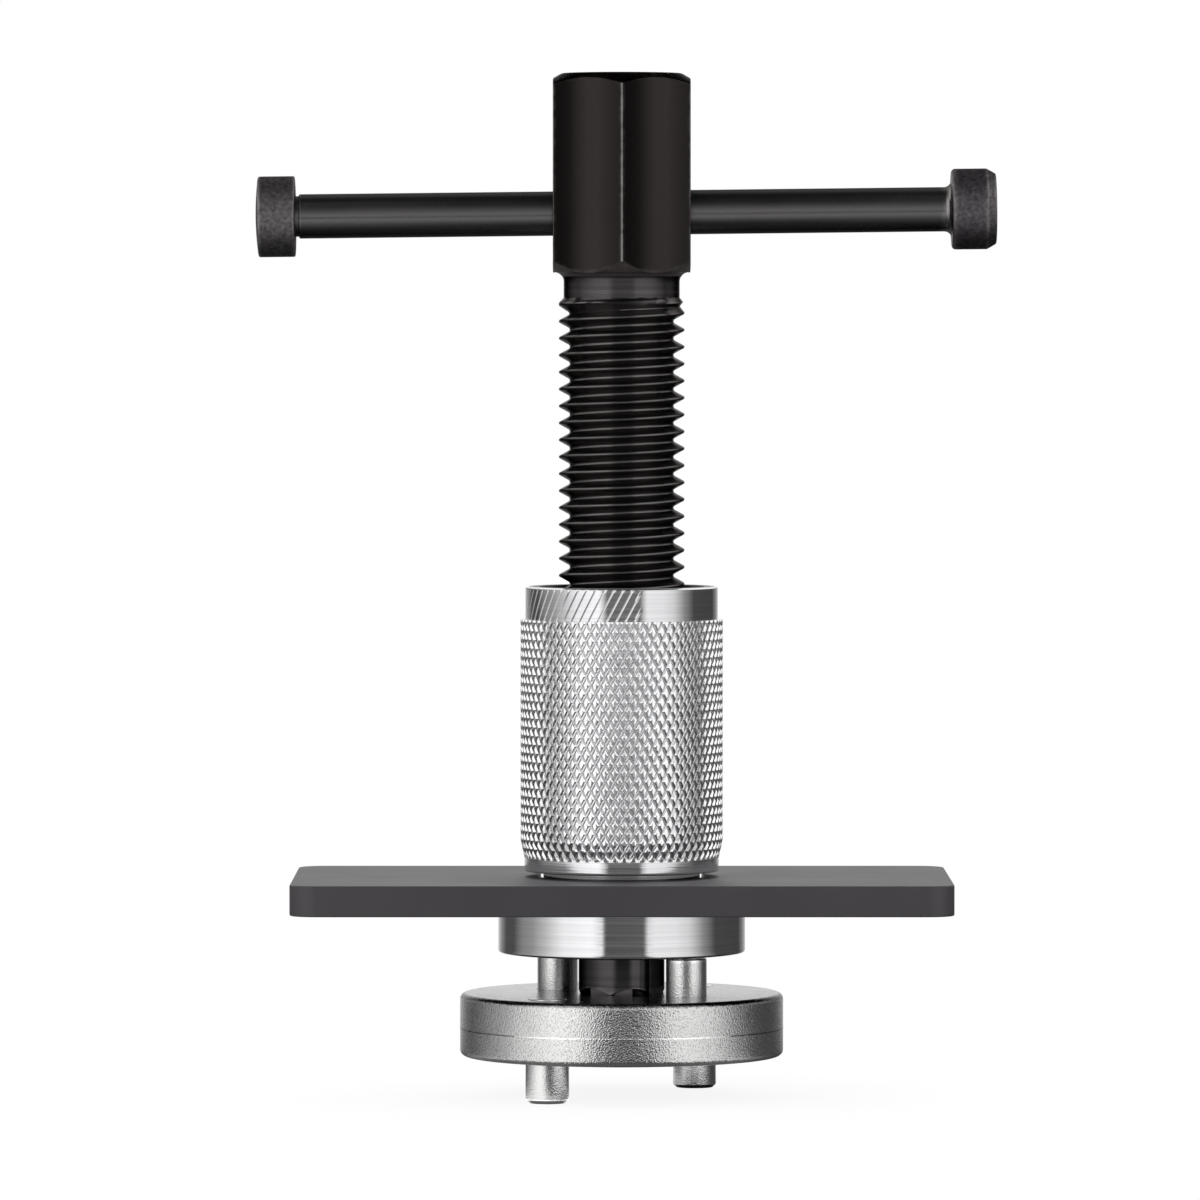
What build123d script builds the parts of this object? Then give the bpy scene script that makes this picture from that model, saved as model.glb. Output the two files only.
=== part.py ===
# Brake caliper piston tool: a threaded spindle that turns a pin adapter while it feeds down
# through a knurled sleeve, whose flange pushes a U-slotted reaction plate against the caliper.
#
# Millimetres. +Z runs up the spindle axis to its hexagon head, +X to the tommy bar's forged head,
# and +Y to the side where the reaction plate's slot opens. The origin is on the spindle axis, in
# the adapter's underside, where the two piston pins stand out.
import os
from math import cos, radians, sin, tan

from build123d import *

# Fits and edge breaks
thread_clearance = 0.05       # spindle thread to sleeve bore, on the radius
press_gap = 0.01              # pressed pins, magnet and cap, on the radius
edge_break = 0.3              # small broken edges

# Adapter disc
adapter_radius = 24.3
adapter_thickness = 9.4
adapter_top_round = 0.9
adapter_bottom_bevel = 0.9
recess_floor = 1.5            # metal left under the hexagon recess

# Pins pressed into the adapter: one pair under it, with thinner shanks through it, the other pair
# above it and square to the first
lower_pin_radius = 3.25
lower_pin_shank_radius = 2.65
lower_pin_pitch = 36.0
lower_pin_reach = 6.1         # how far the lower pins stand out
lower_pin_angle = 52.0        # degrees from +X
peg_seat_depth = 0.08         # faced seat in the adapter's underside that each lower pin stands in
peg_seat_clearance = 0.2      # around the pin in its seat, on the radius
upper_pin_radius = 3.06
upper_pin_pitch = 24.5
upper_pin_reach = 5.8
upper_pin_depth = 6.0         # how far the upper pins are pressed in
upper_pin_angle = lower_pin_angle - 90
pin_chamfer = 0.6

# Spindle, from its hexagon drive up to its hexagon head
drive_flats = 11.2            # across the flats of the drive that enters the adapter
drive_clearance = 0.06        # each side, in the adapter's recess
drive_turn = 14.0             # degrees that a drive corner stands past the front
drive_shoulder_dip = 0.05     # how far the cone above the drive's flats dips into the recess
drive_lift = 0.1              # drive's end above the recess floor
nose_radius = 6.45
adapter_to_flange = 6.15      # open space between the adapter's top and the flange's underside
thread_radius = 9.45          # 3/4 inch thread, over its crests
thread_chamfer = 1.6
thread_start = 1.0            # thread's lower end above the flange's underside
thread_in_sight = 43.3        # thread between the sleeve's top and the neck
head_neck_radius = 8.7
head_neck_length = 3.8
head_neck_fillet = 1.4
head_flats = 20.6
head_height = 29.8
head_top_radius = 9.0         # flat circle on the head's top, inside the 30 degree chamfer
bar_height_in_head = 8.9      # bar axis above the head's lower end

# Magnet disc in the drive's end
magnet_radius = 3.0
magnet_thickness = 2.5
magnet_gap = 0.1              # around it, and below it to the drive's end

# Tommy bar and its pressed cap
bar_radius = 3.33
bar_slack = 0.2               # bar to cross hole, on the radius
bar_tilt = 0.64               # degrees that the bar lies off level in its loose hole, right end up
bar_left = 48.95              # shoulder of the bar behind the cap, from the spindle axis
bar_right = 48.3              # start of the forged head's flare, from the spindle axis
bar_spigot_radius = 2.5
bar_spigot_length = 4.2
bar_neck_radius = 3.05        # turned-down neck at the cap
bar_neck_length = 0.6
forged_radius = 6.05
forged_thickness = 6.7
forged_flare = 1.1
forged_inner_chamfer = 0.7
forged_outer_chamfer = 1.2
cap_radius = 6.05
cap_thickness = 5.9
cap_edge = 0.5
cap_floor = 1.5               # cap's metal beyond the spigot

# Knurled sleeve, from its flange up
flange_radius = 18.55
flange_thickness = 6.8
flange_chamfer = 0.5
groove_radius = 11.75         # neck that the plate's slot straddles
band_radius = 14.6            # smooth band under the knurl
band_height = 2.0
knurl_radius = 15.2
knurl_run_in = 2.6            # cone from the band up to the full knurl
knurl_height = 33.2
top_band_radius = 14.45
top_band_height = 4.9
bore_countersink = 0.7

# Reaction plate
plate_width = 98.4
plate_depth = 50.8
plate_thickness = 4.6
plate_corner = 4.0
slot_clearance = 0.5          # slot to the sleeve's neck, each side
plate_lift = 0.8              # play above the plate, in the sleeve's groove

# Levels on the spindle axis
adapter_top = adapter_thickness
flange_bottom = adapter_top + adapter_to_flange
plate_bottom = flange_bottom + flange_thickness
plate_top = plate_bottom + plate_thickness
band_bottom = plate_top + plate_lift
band_top = band_bottom + band_height
knurl_bottom = band_top + knurl_run_in
knurl_top = knurl_bottom + knurl_height
sleeve_top = knurl_top + top_band_height
drive_bottom = recess_floor + drive_lift
shoulder_bottom = adapter_top - drive_shoulder_dip
shoulder_top = shoulder_bottom + nose_radius - drive_flats / 2
thread_bottom = flange_bottom + thread_start
thread_top = sleeve_top + thread_in_sight
head_bottom = thread_top + head_neck_length
head_top = head_bottom + head_height
bar_level = head_bottom + bar_height_in_head
head_corner_radius = head_flats / 2 / cos(radians(30))


def turned(profile):
    """Revolve a closed (radius, height) outline about the spindle axis."""
    return revolve(Plane.XZ * make_face(Polyline(*profile, close=True)), Axis.Z)


def turned_on_x(profile):
    """Revolve a closed (length, radius) outline about the X axis."""
    return revolve(make_face(Polyline(*profile, close=True)), Axis.X)


def rounding(centre, radius, start, end):
    """Three short straight stretches along an arc: narrow cones mesh far coarser than a torus does."""
    turns = [start + (end - start) * step / 3 for step in range(4)]
    return [(centre[0] + radius * cos(radians(a)), centre[1] + radius * sin(radians(a))) for a in turns]


def hexagon(flats, low, high, turn):
    """Upright hexagonal prism with one corner `turn` degrees from -Y."""
    outline = RegularPolygon(flats / 2, 6, major_radius=False, rotation=turn - 90)
    return Pos(0, 0, low) * extrude(outline, high - low)


def around(pitch, angle):
    """The two places of a pin pair, half a turn apart on a circle of diameter `pitch`."""
    return [Pos(pitch / 2 * cos(radians(a)), pitch / 2 * sin(radians(a)), 0) for a in (angle, angle + 180)]


def hexagon_head():
    """Head with a 30 degree chamfer on top and a 45 degree one underneath."""
    chamfer_top = (head_corner_radius - head_top_radius) * tan(radians(30))
    chamfer_bottom = head_corner_radius - head_flats / 2
    envelope = turned([
        (0, head_bottom),
        (head_flats / 2, head_bottom),
        (head_corner_radius, head_bottom + chamfer_bottom),
        (head_corner_radius, head_top - chamfer_top),
        (head_top_radius, head_top),
        (0, head_top),
    ])
    return hexagon(head_flats, head_bottom, head_top, 0) & envelope


def spindle():
    """Head, neck, thread at its crests, round nose and hexagon drive, in one piece."""
    fillet_centre = (head_neck_radius + head_neck_fillet, head_bottom - head_neck_fillet)
    neck_run_out = thread_radius - head_neck_radius
    body = turned([
        (0, head_bottom),
        *rounding(fillet_centre, head_neck_fillet, 90, 180),
        (head_neck_radius, thread_top),
        (thread_radius, thread_top - neck_run_out),
        (thread_radius, thread_bottom + thread_chamfer),
        (thread_radius - thread_chamfer, thread_bottom),
        (nose_radius, thread_bottom),
        (nose_radius, shoulder_top),
        (drive_flats / 2, shoulder_bottom),
        (0, shoulder_bottom),
    ])
    drive_corner = drive_flats / 2 / cos(radians(30))
    drive_end = drive_flats / 2 - edge_break
    drive_envelope = turned([
        (0, drive_bottom),
        (drive_end, drive_bottom),
        (drive_corner, drive_bottom + drive_corner - drive_end),
        (drive_corner, shoulder_bottom),
        (0, shoulder_bottom),
    ])
    drive = hexagon(drive_flats, drive_bottom, shoulder_bottom, drive_turn) & drive_envelope
    pocket_top = drive_bottom + 2 * magnet_gap + magnet_thickness
    pocket = turned([
        (0, drive_bottom),
        (magnet_radius + magnet_gap, drive_bottom),
        (magnet_radius + magnet_gap, pocket_top),
        (0, pocket_top),
    ])
    hole_radius = bar_radius + bar_slack
    mouth = head_flats / 2
    cross_hole = Pos(0, 0, bar_level) * turned_on_x([
        (-mouth, 0),
        (-mouth, hole_radius + edge_break),
        (-mouth + edge_break, hole_radius),
        (mouth - edge_break, hole_radius),
        (mouth, hole_radius + edge_break),
        (mouth, 0),
    ])
    return body + hexagon_head() + drive - pocket - cross_hole


def bar_place():
    """Where the bar lies: its own X along the bar, tilted in the cross hole."""
    return Location((0, 0, bar_level), (0, -bar_tilt, 0))


def tommy_bar():
    """Bar with one upset head and, at the other end, a neck and a spigot for the cap."""
    head_start = bar_right + forged_flare
    return bar_place() * turned_on_x([
        (-bar_left + bar_neck_length + edge_break, bar_radius),
        (-bar_left + bar_neck_length, bar_neck_radius),
        (-bar_left, bar_neck_radius),
        (-bar_left, bar_spigot_radius),
        (-bar_left - bar_spigot_length, bar_spigot_radius),
        (-bar_left - bar_spigot_length, 0),
        (head_start + forged_thickness, 0),
        (head_start + forged_thickness, forged_radius - forged_outer_chamfer),
        (head_start + forged_thickness - forged_outer_chamfer, forged_radius),
        (head_start + forged_inner_chamfer, forged_radius),
        (head_start, forged_radius - forged_inner_chamfer),
        *rounding((bar_right, bar_radius + forged_flare), forged_flare, 0, -90),
    ])


def tommy_bar_cap():
    """Round cap pressed over the bar's spigot, against its neck."""
    outer = -bar_left - cap_thickness
    bore = bar_spigot_radius + press_gap
    return bar_place() * turned_on_x([
        (-bar_left, bore),
        (-bar_left, cap_radius - edge_break),
        (-bar_left - edge_break, cap_radius),
        (outer + cap_edge, cap_radius),
        (outer, cap_radius - cap_edge),
        (outer, 0),
        (outer + cap_floor, 0),
        (outer + cap_floor, bore),
    ])


def threaded_sleeve():
    """Nut with a knurled grip, a groove for the plate and a flange, bored to the thread's crests."""
    bore = thread_radius + thread_clearance
    return turned([
        (bore + bore_countersink, flange_bottom),
        (flange_radius - flange_chamfer, flange_bottom),
        (flange_radius, flange_bottom + flange_chamfer),
        (flange_radius, plate_bottom - edge_break),
        (flange_radius - edge_break, plate_bottom),
        (groove_radius, plate_bottom),
        (groove_radius, band_bottom),
        (band_radius - edge_break, band_bottom),
        (band_radius, band_bottom + edge_break),
        (band_radius, band_top),
        (knurl_radius, knurl_bottom),
        (knurl_radius, knurl_top),
        (top_band_radius, knurl_top),
        (top_band_radius, sleeve_top - edge_break),
        (top_band_radius - edge_break, sleeve_top),
        (bore + bore_countersink, sleeve_top),
        (bore, sleeve_top - bore_countersink),
        (bore, flange_bottom + bore_countersink),
    ])


def reaction_plate():
    """Flat bar with rounded corners and a U slot that opens to the back."""
    slot_radius = groove_radius + slot_clearance
    outline = RectangleRounded(plate_width, plate_depth, plate_corner)
    slot = Circle(slot_radius) + Pos(0, plate_depth / 2) * Rectangle(2 * slot_radius, plate_depth)
    return Pos(0, 0, plate_bottom) * extrude(outline - slot, plate_thickness)


def adapter_disc():
    """Disc with a blind hexagon recess on top, seated through holes and blind holes for its pins."""
    round_centre = (adapter_radius - adapter_top_round, adapter_top - adapter_top_round)
    disc = turned([
        (0, 0),
        (adapter_radius - adapter_bottom_bevel, 0),
        (adapter_radius, adapter_bottom_bevel),
        *rounding(round_centre, adapter_top_round, 0, 90),
        (0, adapter_top),
    ])
    disc -= hexagon(drive_flats + 2 * drive_clearance, recess_floor, adapter_top, drive_turn)
    seat = Cylinder(lower_pin_radius + peg_seat_clearance, peg_seat_depth)
    for place in around(lower_pin_pitch, lower_pin_angle):
        disc -= place * Pos(0, 0, adapter_top / 2) * Cylinder(lower_pin_shank_radius, adapter_top)
        disc -= place * Pos(0, 0, peg_seat_depth / 2) * seat
    for place in around(upper_pin_pitch, upper_pin_angle):
        hole = Cylinder(upper_pin_radius, upper_pin_depth)
        disc -= place * Pos(0, 0, adapter_top - upper_pin_depth / 2) * hole
    return disc


def lower_pin():
    """Peg that stands in its seat under the adapter, with a thinner shank pressed right through it."""
    shank = lower_pin_shank_radius - press_gap
    return turned([
        (0, -lower_pin_reach),
        (lower_pin_radius - pin_chamfer, -lower_pin_reach),
        (lower_pin_radius, -lower_pin_reach + pin_chamfer),
        (lower_pin_radius, peg_seat_depth),
        (shank, peg_seat_depth),
        (shank, adapter_top),
        (0, adapter_top),
    ])


def upper_pin():
    """Plain peg pressed into a blind hole, chamfered at the end that stands out."""
    radius = upper_pin_radius - press_gap
    tip = adapter_top + upper_pin_reach
    return turned([
        (0, adapter_top - upper_pin_depth),
        (radius, adapter_top - upper_pin_depth),
        (radius, tip - pin_chamfer),
        (radius - pin_chamfer, tip),
        (0, tip),
    ])


def drive_magnet():
    """Disc magnet in the drive's end, which holds the adapter on."""
    low = drive_bottom + magnet_gap
    return Pos(0, 0, low + magnet_thickness / 2) * Cylinder(magnet_radius, magnet_thickness)


pieces = {
    "spindle": spindle(),
    "tommy_bar": tommy_bar(),
    "tommy_bar_cap": tommy_bar_cap(),
    "threaded_sleeve": threaded_sleeve(),
    "reaction_plate": reaction_plate(),
    "adapter_disc": adapter_disc(),
    "drive_magnet": drive_magnet(),
}
for number, place in enumerate(around(lower_pin_pitch, lower_pin_angle), start=1):
    pieces[f"lower_pin_{number}"] = place * lower_pin()
for number, place in enumerate(around(upper_pin_pitch, upper_pin_angle), start=1):
    pieces[f"upper_pin_{number}"] = place * upper_pin()

os.makedirs("parts", exist_ok=True)
for name, solid in pieces.items():
    export_step(solid, f"parts/{name}.step")
print("levels:", {"plate top": plate_top, "sleeve top": sleeve_top, "bar": bar_level, "top": head_top})
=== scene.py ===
from math import atan2, cos, pi, radians, sin, tan

import bmesh
import bpy
import numpy as np
from mathutils import Matrix, Vector


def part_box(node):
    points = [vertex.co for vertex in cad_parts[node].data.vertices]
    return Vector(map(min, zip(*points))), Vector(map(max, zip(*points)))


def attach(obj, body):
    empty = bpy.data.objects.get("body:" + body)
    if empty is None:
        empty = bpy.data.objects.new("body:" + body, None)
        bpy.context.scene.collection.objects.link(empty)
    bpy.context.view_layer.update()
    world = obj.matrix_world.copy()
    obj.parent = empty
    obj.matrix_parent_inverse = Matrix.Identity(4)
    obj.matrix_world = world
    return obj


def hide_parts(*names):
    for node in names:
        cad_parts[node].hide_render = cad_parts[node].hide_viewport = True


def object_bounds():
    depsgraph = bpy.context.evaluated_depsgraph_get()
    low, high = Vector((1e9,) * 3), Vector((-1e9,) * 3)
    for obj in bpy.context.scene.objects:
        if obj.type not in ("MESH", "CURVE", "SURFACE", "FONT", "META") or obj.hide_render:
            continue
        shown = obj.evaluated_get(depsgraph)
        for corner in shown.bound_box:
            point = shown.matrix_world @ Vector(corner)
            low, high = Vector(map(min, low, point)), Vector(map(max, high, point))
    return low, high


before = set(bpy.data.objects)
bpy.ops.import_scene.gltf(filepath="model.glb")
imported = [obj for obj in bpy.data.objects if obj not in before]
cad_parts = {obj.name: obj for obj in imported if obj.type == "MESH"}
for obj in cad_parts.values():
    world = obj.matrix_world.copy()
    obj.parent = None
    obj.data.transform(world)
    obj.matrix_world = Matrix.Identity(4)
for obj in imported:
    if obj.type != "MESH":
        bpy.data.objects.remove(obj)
cad_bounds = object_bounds()

# Camera: a long lens at the height of the spindle's neck, tipped down a little, with the spindle just
# right of the frame's middle.
CAMERA_DISTANCE = 1.4
CAMERA_HEIGHT = 0.1124
AIM_HEIGHT = 0.0684
AIM_SIDE = -0.00325
LENS = 280.0

camera_data = bpy.data.cameras.new("camera")
camera_data.lens = LENS
camera_data.clip_end = 20
camera = bpy.data.objects.new("camera", camera_data)
camera.location = (AIM_SIDE, -CAMERA_DISTANCE, CAMERA_HEIGHT)
line_of_sight = Vector((AIM_SIDE, 0, AIM_HEIGHT)) - camera.location
camera.rotation_euler = line_of_sight.to_track_quat("-Z", "Y").to_euler()
bpy.context.collection.objects.link(camera)
bpy.context.scene.camera = camera
bpy.context.scene.view_settings.view_transform = "Standard"


# Studio: a white floor and background, and a round tent of soft panels that only light and reflections
# meet. A dark gap low behind the camera and low dark flags at both sides draw the stripes on plated
# metal, and a black cloth round the tool's foot keeps the undersides dark.
FLOOR_RADIUS = 9.0
FLOOR_COLOUR = (0.9, 0.9, 0.9, 1)
SHADOW_REACH = 0.15  # beyond this the floor is plain white
SHADOW_FADE = [(0.2, 0.9), (1.0, 1.0)]  # how white it is, out to there
TENT_RADIUS = 0.5
TENT_RINGS = 48
TENT_STRENGTH = 1.5
TENT_TURN = [                 # low round the tent: (degrees from the camera to its right, brightness)
    (-180, 0.60), (-165, 0.50), (-150, 0.24), (-135, 0.07), (-118, 0.07), (-104, 0.22), (-90, 0.28),
    (-74, 0.50), (-55, 0.88), (-30, 1.00), (-18, 0.95), (-15, 0.08), (20, 0.10), (24, 0.85), (50, 0.80),
    (64, 0.66), (80, 0.25), (95, 0.06), (138, 0.05), (152, 0.20), (166, 0.42), (180, 0.60),
]
FRONT = [(-26, 0), (-17, 1), (21, 1), (30, 0)]  # the front panel over the gap, in degrees
FRONT_RISE = [(0, 0.08), (2, 0.28), (4, 0.26), (5, 0.12), (8, 0.12), (10.5, 0.62), (15, 0.58),
              (29, 0.34), (43, 0.16), (56, 0.04), (88, 0.003)]
UPPER_SHARE = [(0, 0), (10, 0), (25, 1)]  # how far the upper panels take over
UPPER_RISE = [(0, 0.85), (45, 0.85), (62, 0.30), (78, 0.05), (90, 0.01)]
CLOTH_RADIUS = 0.55
CLOTH_LIFT = 0.0001
CLOTH_FALL = [(0.0, 0.01), (0.034, 0.08), (0.05, 0.14), (0.08, 0.13), (0.12, 0.04), (0.25, 0.22),
              (0.42, 0.62), (0.7, 1.0)]  # outwards on the cloth, seen steeply from above
CLOTH_AHEAD = 0.62  # of that, in front
STEEP_AT_SIDES = [(0.45, 1), (0.70, 0)]  # how flat a look meets the panels
STEEP_AHEAD = [(0.72, 1), (0.90, 0)]
LAMP_DISTANCE = 1.2
SOFTBOXES = [                 # name, degrees right of the camera, degrees up, size, power
    ("left_softbox", -45, 25, 0.7, 7.0),
    ("right_softbox", 50, 30, 0.7, 5.0),
    ("back_softbox", 170, 40, 0.7, 5.0),
    ("top_softbox", 0, 85, 0.8, 5.0),
]


def node(tree, kind, inputs=None, **settings):
    """A shader node with its properties set, and its inputs set to values or linked to sockets."""
    made = tree.nodes.new(kind)
    for name, value in settings.items():
        setattr(made, name, value)
    for place, value in (inputs or {}).items():
        if isinstance(value, bpy.types.NodeSocket):
            tree.links.new(value, made.inputs[place])
        else:
            made.inputs[place].default_value = value
    return made


def new_material(name):
    """A material with an empty node tree, and that tree."""
    material = bpy.data.materials.new(name)
    material.use_nodes = True
    material.node_tree.nodes.clear()
    return material, material.node_tree


def show(tree, kind, inputs):
    """Makes the shader that a material shows."""
    node(tree, "ShaderNodeOutputMaterial", {"Surface": node(tree, kind, inputs).outputs[0]})


def math(tree, operation, *inputs):
    """A Math node, with numbers or sockets as its inputs. Gives its output socket."""
    return node(tree, "ShaderNodeMath", dict(enumerate(inputs)), operation=operation).outputs[0]


def ramp(tree, value, stops):
    """A colour ramp of grey stops, given as (place from 0 to 1, grey), read at a socket."""
    made = node(tree, "ShaderNodeValToRGB", {0: value})
    elements = made.color_ramp.elements
    while len(elements) < len(stops):
        elements.new(0.5)
    for element, (place, grey) in zip(elements, stops):
        element.position = place
        element.color = (grey, grey, grey, 1)
    return made.outputs[0]


def blend(tree, share, first, second):
    """A value between two sockets, by a socket."""
    inputs = {"Factor": share, "A": first, "B": second}
    return node(tree, "ShaderNodeMix", inputs, data_type="FLOAT").outputs["Result"]


def own_place(tree):
    """A point's place in its object's own coordinates."""
    return node(tree, "ShaderNodeTexCoord").outputs["Object"]


def distance_out(tree):
    """Distance from the object's own middle."""
    return node(tree, "ShaderNodeVectorMath", {0: own_place(tree)}, operation="LENGTH").outputs["Value"]


def panel_material(name):
    """The tent's panels, or the cloth, which shows the same panels at a flat angle."""
    material, tree = new_material(name)
    place = node(tree, "ShaderNodeNewGeometry").outputs["Position"]
    x, y, z = node(tree, "ShaderNodeSeparateXYZ", {0: place}).outputs
    turn = math(tree, "ARCTAN2", x, math(tree, "MULTIPLY", y, -1.0))
    turn = math(tree, "MULTIPLY_ADD", turn, 1 / (2 * pi), 0.5)
    around, front = [ramp(tree, turn, [((degrees + 180) / 360, grey) for degrees, grey in stops])
                     for stops in (TENT_TURN, FRONT)]
    if name == "tent":
        lift = math(tree, "MAXIMUM", math(tree, "DIVIDE", z, TENT_RADIUS), 0.0)
        rise = math(tree, "MULTIPLY", math(tree, "ARCSINE", lift), 2 / pi)
        share, upper, ahead = [ramp(tree, rise, [(degrees / 90, grey) for degrees, grey in stops])
                               for stops in (UPPER_SHARE, UPPER_RISE, FRONT_RISE)]
        elsewhere = blend(tree, share, around, upper)
    else:
        fall = ramp(tree, math(tree, "DIVIDE", distance_out(tree), TENT_RADIUS), CLOTH_FALL)
        facing = node(tree, "ShaderNodeLayerWeight").outputs["Facing"]
        elsewhere = blend(tree, ramp(tree, facing, STEEP_AT_SIDES), around,
                          math(tree, "MULTIPLY", around, fall))
        ahead = blend(tree, ramp(tree, facing, STEEP_AHEAD), around,
                      math(tree, "MULTIPLY", fall, CLOTH_AHEAD))
    light = blend(tree, front, elsewhere, ahead)
    show(tree, "ShaderNodeEmission", {"Color": light, "Strength": TENT_STRENGTH})
    return material


def floor_material():
    """White floor that keeps the tool's soft shadow, and is plain white further out."""
    material, tree = new_material("floor")
    rays = node(tree, "ShaderNodeLightPath").outputs
    seen = math(tree, "MAXIMUM", rays["Is Camera Ray"], rays["Is Glossy Ray"])
    seen = math(tree, "MAXIMUM", seen, rays["Is Transmission Ray"])
    white = ramp(tree, math(tree, "DIVIDE", distance_out(tree), SHADOW_REACH), SHADOW_FADE)
    show(tree, "ShaderNodeMixShader", {
        0: math(tree, "MULTIPLY", white, seen),
        1: node(tree, "ShaderNodeBsdfDiffuse", {"Color": FLOOR_COLOUR}).outputs[0],
        2: node(tree, "ShaderNodeEmission").outputs[0],
    })
    return material


def stage_disc(name, radius, height, rings, material):
    """A flat disc, or with more rings a dome over it."""
    builder = bmesh.new()
    if rings == 1:
        bmesh.ops.create_circle(builder, cap_ends=True, segments=96, radius=radius)
    else:
        bmesh.ops.create_uvsphere(builder, u_segments=96, v_segments=rings, radius=radius)
    mesh = bpy.data.meshes.new(name)
    builder.to_mesh(mesh)
    builder.free()
    mesh.materials.append(material)
    piece = bpy.data.objects.new(name, mesh)
    piece.location.z = height
    bpy.context.collection.objects.link(piece)
    return piece


def soft_lamp(name, turn, rise, size, power):
    """A square lamp that faces the tool from `turn` degrees right of the camera, unseen in metal."""
    data = bpy.data.lights.new(name, "AREA")
    data.size = size
    data.energy = power
    lamp = bpy.data.objects.new(name, data)
    level = cos(radians(rise))
    away = Vector((sin(radians(turn)) * level, -cos(radians(turn)) * level, sin(radians(rise))))
    lamp.location = away * LAMP_DISTANCE
    lamp.rotation_euler = (-away).to_track_quat("-Z", "Y").to_euler()
    lamp.visible_glossy = False
    bpy.context.collection.objects.link(lamp)


floor_level = cad_bounds[0][2]
floor = stage_disc("floor", FLOOR_RADIUS, floor_level, 1, floor_material())
tent = stage_disc("tent", TENT_RADIUS, 0.0, TENT_RINGS, panel_material("tent"))
cloth = stage_disc("black_cloth", CLOTH_RADIUS, floor_level + CLOTH_LIFT, 1, panel_material("cloth"))
for piece in (tent, cloth):
    piece.visible_camera = False
    piece.visible_shadow = False
cloth.visible_diffuse = False
for piece in (floor, cloth):
    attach(piece, "adapter")     # the tool stands on its lower pins, however far it is wound down
for softbox in SOFTBOXES:
    soft_lamp(*softbox)

world = bpy.data.worlds.new("white_world")
world.use_nodes = True
world.node_tree.nodes["Background"].inputs["Color"].default_value = (1, 1, 1, 1)
bpy.context.scene.world = world


# Spindle: one forged and turned steel piece in black oxide, with a hexagon head, a cut 3/4 inch thread,
# a round nose and a hexagon drive. Its corners are worn to bare steel, and it is dull under the head.
MM = 0.001
HEAD_FLATS = 20.6 * MM
HEAD_CORNER_ROUND = 0.42 * MM
HEAD_TOP_RADIUS = 9.0 * MM
HEAD_TOP_SLOPE = tan(radians(30))
HEAD_HEIGHT = 29.8 * MM
NECK_RADIUS = 8.7 * MM
NECK_LENGTH = 3.8 * MM
NECK_FILLET = 1.4 * MM
NECK_OVERLAP = 0.3 * MM       # into the thread, and the nose's from below
NOSE_OVERLAP = 0.4 * MM
THREAD_PITCH = 2.54 * MM
THREAD_RADIUS = 9.44 * MM
THREAD_DEPTH = 1.66 * MM
THREAD_BOTTOM_TAPER = 1.6 * MM
THREAD_ABOVE_FLANGE = 1.0 * MM
THREAD_STEPS = 96             # around one turn
THREAD_START = 1.63           # pitches below its foot, where the strip starts
THREAD_CUT_END = 0.15         # pitches below the neck, where the cut has run out
THREAD_RUN_OUT = 0.8          # pitches that this takes
THREAD_WEAR = 0.06            # of its crests
THREAD_PROFILE = [            # (share of a pitch upwards, share of the depth cut)
    (-0.063, 0.03), (0.0, 0.0), (0.063, 0.03), (0.098, 0.11), (0.365, 0.86),
    (0.4, 0.94), (0.5, 1.0), (0.6, 0.94), (0.635, 0.86), (0.902, 0.11),
]
NOSE_RADIUS = 6.45 * MM
DRIVE_SHOULDER_DIP = 0.05 * MM
DRIVE_ARC_RISE = 1.0 * MM
DRIVE_FLATS = 11.2 * MM
DRIVE_CORNER_ROUND = 0.1 * MM
DRIVE_END_BREAK = 0.3 * MM
DRIVE_TURN = 14.0
CORNER_COLUMNS = 7            # mesh columns on a hexagon's corner, and from one corner to the next
FLAT_COLUMNS = 28
EDGE = 0.14 * MM              # rounding of a broken edge
EDGE_FADE = 0.2               # share of the stretch beside an edge in which its wear fades
OVER = 1.0 * MM               # that a cutting shape stands out of what it cuts
BAR_HOLE_RADIUS = 3.53 * MM
BAR_HOLE_BREAK = 0.3 * MM
BAR_ABOVE_HEAD_FOOT = 8.9 * MM
MAGNET_POCKET_RADIUS = 3.1 * MM
MAGNET_POCKET_DEPTH = 2.7 * MM
# painted shade across each flat of the head, darker along its left side; 1 is the oxide's own colour
FLAT_PLACES = [0.0, 0.04, 0.12, 0.22, 0.36, 0.50, 0.66, 0.81, 0.93, 1.0]  # across it from its left
FLAT_PAINTED_SHADES = [0.4, 0.18, 0.20, 0.28, 0.68, 0.97, 1.00, 0.76, 0.60, 0.55]
WORN_STEEL = (0.46, 0.44, 0.42)

spindle_low, spindle_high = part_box("spindle")
adapter_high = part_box("adapter_disc")[1]
sleeve_low, sleeve_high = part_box("threaded_sleeve")
head_top = spindle_high[2]
head_foot = head_top - HEAD_HEIGHT
thread_top = head_foot - NECK_LENGTH
thread_foot = sleeve_low[2] + THREAD_ABOVE_FLANGE
shoulder_foot = adapter_high[2] - DRIVE_SHOULDER_DIP
drive_foot = spindle_low[2]
bar_level = head_foot + BAR_ABOVE_HEAD_FOOT


def full_turn(columns):
    """Angles of mesh columns all round an axis."""
    return np.linspace(0, 2 * pi, columns, endpoint=False)


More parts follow.
